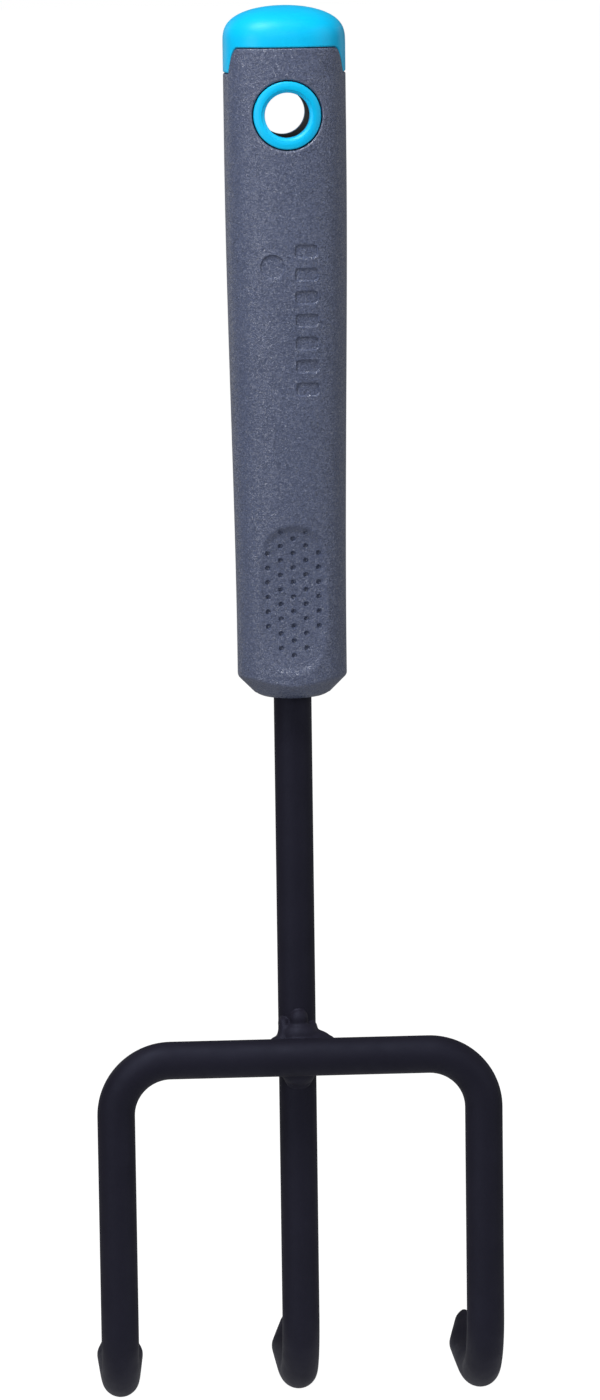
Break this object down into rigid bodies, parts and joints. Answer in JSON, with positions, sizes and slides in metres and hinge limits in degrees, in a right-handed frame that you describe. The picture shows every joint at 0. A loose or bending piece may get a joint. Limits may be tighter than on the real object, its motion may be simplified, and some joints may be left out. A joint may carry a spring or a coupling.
{
  "type": "hand cultivator",
  "caption": "Rigid garden hand cultivator: hooked spear-tipped steel tines on a round shaft, in a soft grey handle with a bright blue butt cap and a ringed hang hole.",
  "frame": {"origin": "centre of the hang hole, half way through the handle", "axes": "+Z along the tool towards the butt cap, tines at -Z; -Y is the front with the thumb rest; tine tips point to +Y; +X is to the right seen from the front"},
  "size_m": [0.0894, 0.0584, 0.3071],
  "materials": {
    "coated_steel": "satin black coating over steel rod",
    "coated_weld": "satin black coating over weld metal",
    "core_plastic": "moulded near-black plastic, seen only inside the hang hole",
    "grip_rubber": "soft-touch, fine pebble texture",
    "blue_plastic": "satin moulded"
  },
  "bodies": {
    "root": {"center_tine_rod": "coated_steel", "outer_tine_rod": "coated_steel", "weld_bead_upper": "coated_weld", "weld_bead_lower": "coated_weld", "handle_core": "core_plastic", "grip_sleeve": "grip_rubber", "end_cap": "blue_plastic", "hang_ring_front": "blue_plastic", "hang_ring_rear": "blue_plastic"}
  },
  "joints": []
}
